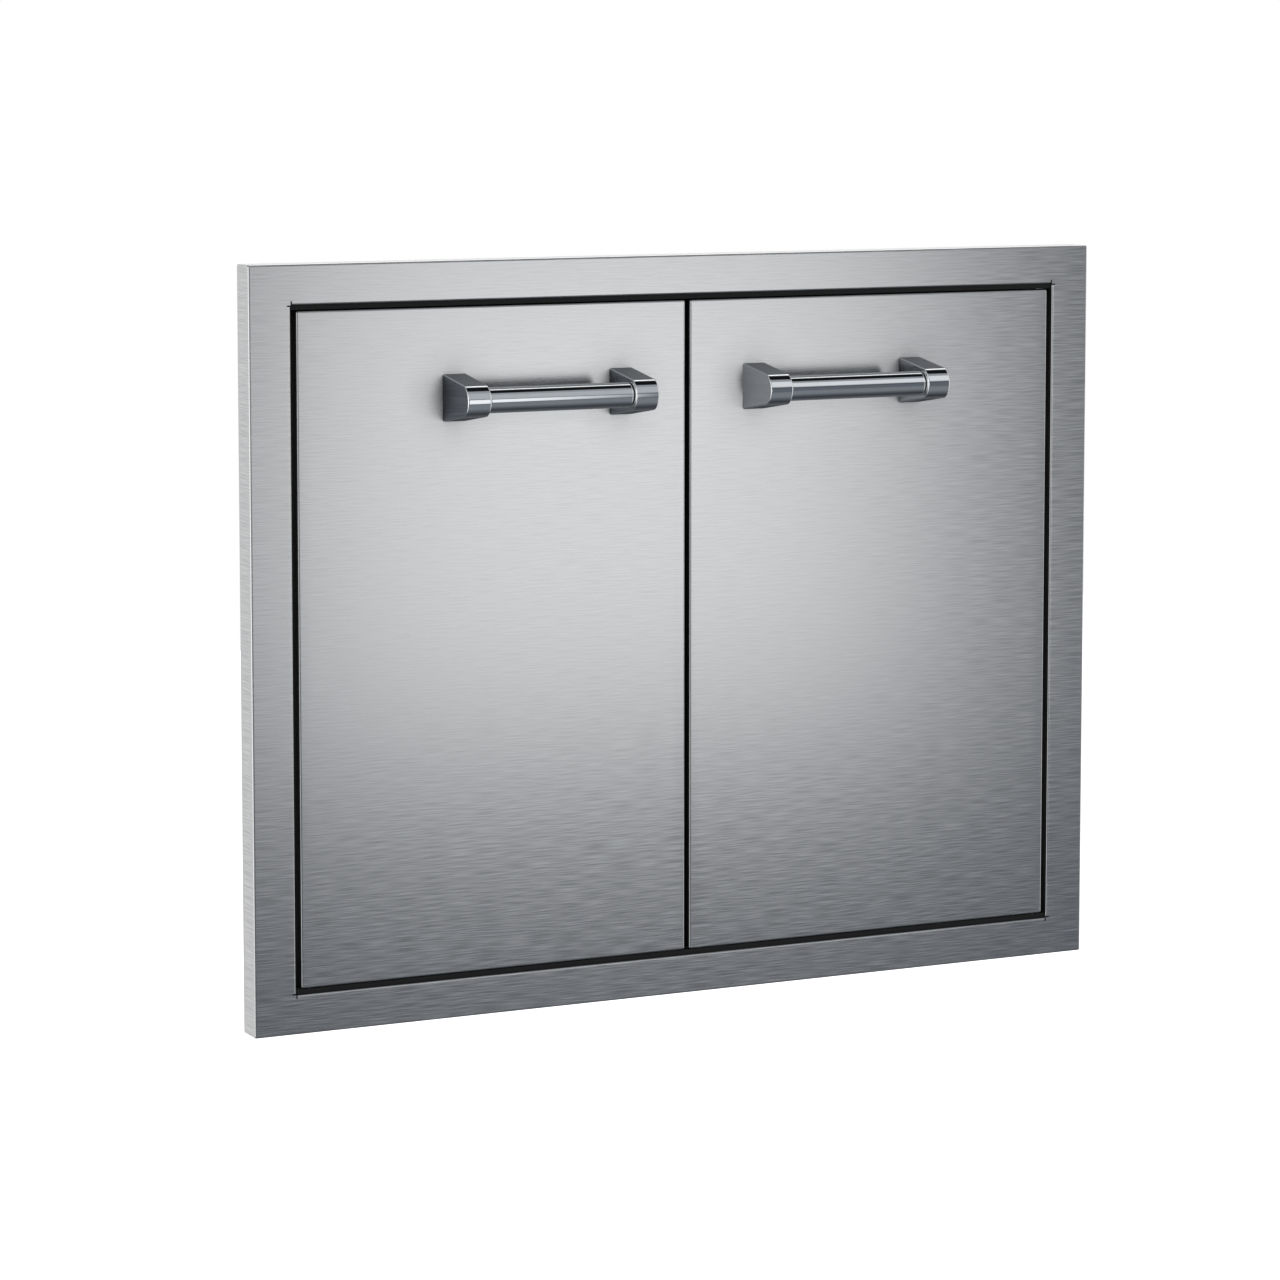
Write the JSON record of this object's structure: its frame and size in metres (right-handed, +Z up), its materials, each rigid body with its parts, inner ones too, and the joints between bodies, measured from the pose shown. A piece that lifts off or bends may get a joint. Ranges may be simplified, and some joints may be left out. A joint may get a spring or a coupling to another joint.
{
  "type": "access door",
  "caption": "Stainless access door set for a barbecue island: flush doors with bar handles, hinged in a raised face frame with a sleeve that fits a wall cut-out.",
  "frame": {"origin": "middle of the wall cut-out, in the face of the wall that the frame's rear lips bear on", "axes": "+X to the right as seen from the front, +Y into the island, +Z up"},
  "size_m": [0.762, 0.1359, 0.6096],
  "materials": {
    "face_sheet": "horizontal fine brushed grain, satin",
    "door_sheet": "horizontal fine brushed grain, satin",
    "liner_sheet": "mill finish stainless sheet",
    "sleeve_sheet": "mill finish stainless sheet",
    "handle_casting": "satin sides, polished front band",
    "handle_tube": "polished",
    "fastener_steel": "plain stainless",
    "hinge_steel": "laser-cut plate, dull",
    "pin_steel": "turned, smooth",
    "tab_steel": "folded strip, satin",
    "block_alloy": "sawn and milled, dull",
    "spring_steel": "drawn wire",
    "striker_steel": "zinc plated, dull",
    "magnet_steel": "plated pole plates",
    "bush_plastic": "natural nylon",
    "catch_plastic": "moulded, fine texture",
    "seal_rubber": "matt black"
  },
  "bodies": {
    "frame": {"face_frame": "face_sheet", "left_jamb": "sleeve_sheet", "right_jamb": "sleeve_sheet", "top_jamb": "sleeve_sheet", "bottom_jamb": "sleeve_sheet", "top_stop_rail": "sleeve_sheet", "bottom_stop_rail": "sleeve_sheet", "top_stop_seal": "seal_rubber", "bottom_stop_seal": "seal_rubber", "reveal_seal": "seal_rubber", "jamb_rivets": "fastener_steel", "upper_hinge_plates": "hinge_steel", "lower_hinge_plates": "hinge_steel", "left_upper_bush": "bush_plastic", "right_upper_bush": "bush_plastic", "left_lower_bush": "bush_plastic", "right_lower_bush": "bush_plastic", "hinge_plate_screws": "fastener_steel", "left_catch_housing": "catch_plastic", "right_catch_housing": "catch_plastic", "catch_magnets": "magnet_steel", "catch_screws": "fastener_steel"},
    "left_door": {"left_door_skin": "door_sheet", "left_door_liner": "liner_sheet", "left_door_edge_seal": "seal_rubber", "left_door_stiffener": "sleeve_sheet", "left_upper_hinge_block": "block_alloy", "left_lower_hinge_block": "block_alloy", "left_hinge_block_screws": "fastener_steel", "left_lower_pivot_pin": "pin_steel", "left_spring_plug": "block_alloy", "left_release_spring": "spring_steel", "left_striker_plate": "striker_steel", "left_striker_rivets": "fastener_steel", "left_handle_outer_post": "handle_casting", "left_handle_inner_post": "handle_casting", "left_handle_bar": "handle_tube", "left_handle_spacers": "pin_steel", "left_handle_screws": "fastener_steel"},
    "right_door": {"right_door_skin": "door_sheet", "right_door_liner": "liner_sheet", "right_door_edge_seal": "seal_rubber", "right_door_stiffener": "sleeve_sheet", "right_upper_hinge_block": "block_alloy", "right_lower_hinge_block": "block_alloy", "right_hinge_block_screws": "fastener_steel", "right_lower_pivot_pin": "pin_steel", "right_spring_plug": "block_alloy", "right_release_spring": "spring_steel", "right_striker_plate": "striker_steel", "right_striker_rivets": "fastener_steel", "right_handle_outer_post": "handle_casting", "right_handle_inner_post": "handle_casting", "right_handle_bar": "handle_tube", "right_handle_spacers": "pin_steel", "right_handle_screws": "fastener_steel"},
    "left_pin": {"left_release_pin": "pin_steel", "left_release_tab": "tab_steel"},
    "right_pin": {"right_release_pin": "pin_steel", "right_release_tab": "tab_steel"}
  },
  "joints": [
    {"name": "left_door_hinge", "type": "hinge", "parent": "frame", "child": "left_door", "pos_m": [-0.32535, -0.0159, 0], "axis": [0, 0, -1], "range_deg": [0, 120]},
    {"name": "left_release_slide", "type": "slide", "parent": "left_door", "child": "left_pin", "axis": [0, 0, -1], "range_m": [0, 0.012], "stiffness_N_per_m": 1940, "springref_m": -0.0055, "deforming": ["left_release_spring"]},
    {"name": "right_door_hinge", "type": "hinge", "parent": "frame", "child": "right_door", "pos_m": [0.32535, -0.0159, 0], "axis": [0, 0, 1], "range_deg": [0, 120]},
    {"name": "right_release_slide", "type": "slide", "parent": "right_door", "child": "right_pin", "axis": [0, 0, -1], "range_m": [0, 0.012], "stiffness_N_per_m": 1940, "springref_m": -0.0055, "deforming": ["right_release_spring"]}
  ]
}
